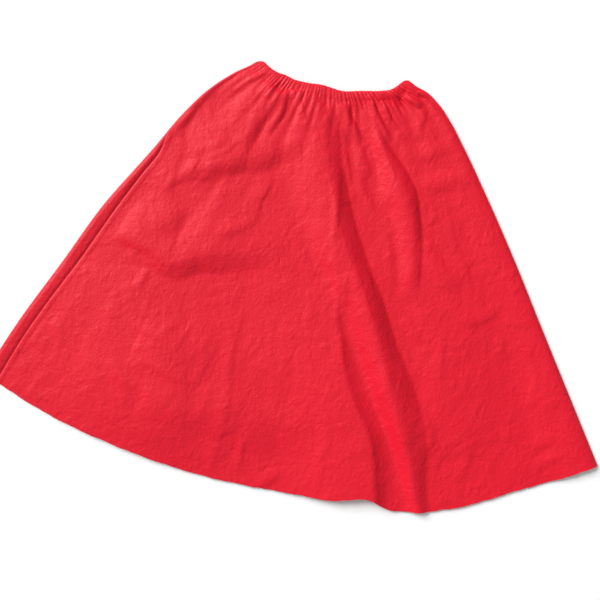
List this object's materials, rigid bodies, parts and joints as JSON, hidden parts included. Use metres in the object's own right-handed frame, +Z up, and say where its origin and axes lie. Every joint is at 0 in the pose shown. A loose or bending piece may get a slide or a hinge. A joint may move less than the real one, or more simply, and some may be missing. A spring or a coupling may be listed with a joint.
{
  "type": "circle skirt laid flat",
  "caption": "Circle-cut skirt in crinkled red cotton with a gathered elastic waist, laid flat with its front up and soft folds running down to the hem.",
  "frame": {"origin": "centre of the laid skirt's outline, on the surface it lies on", "axes": "+Z up off the surface, through the back and then the front; +Y along the skirt's middle line towards the waist; +X towards the right of the picture, along the width of the hem"},
  "size_m": [1.1782, 0.8166, 0.0184],
  "materials": {
    "red_crinkled_cotton": "matt, crinkled"
  },
  "bodies": {
    "root": {"front_panel": "red_crinkled_cotton", "back_panel": "red_crinkled_cotton", "waist_casing_front": "red_crinkled_cotton", "waist_casing_back": "red_crinkled_cotton"}
  },
  "joints": []
}
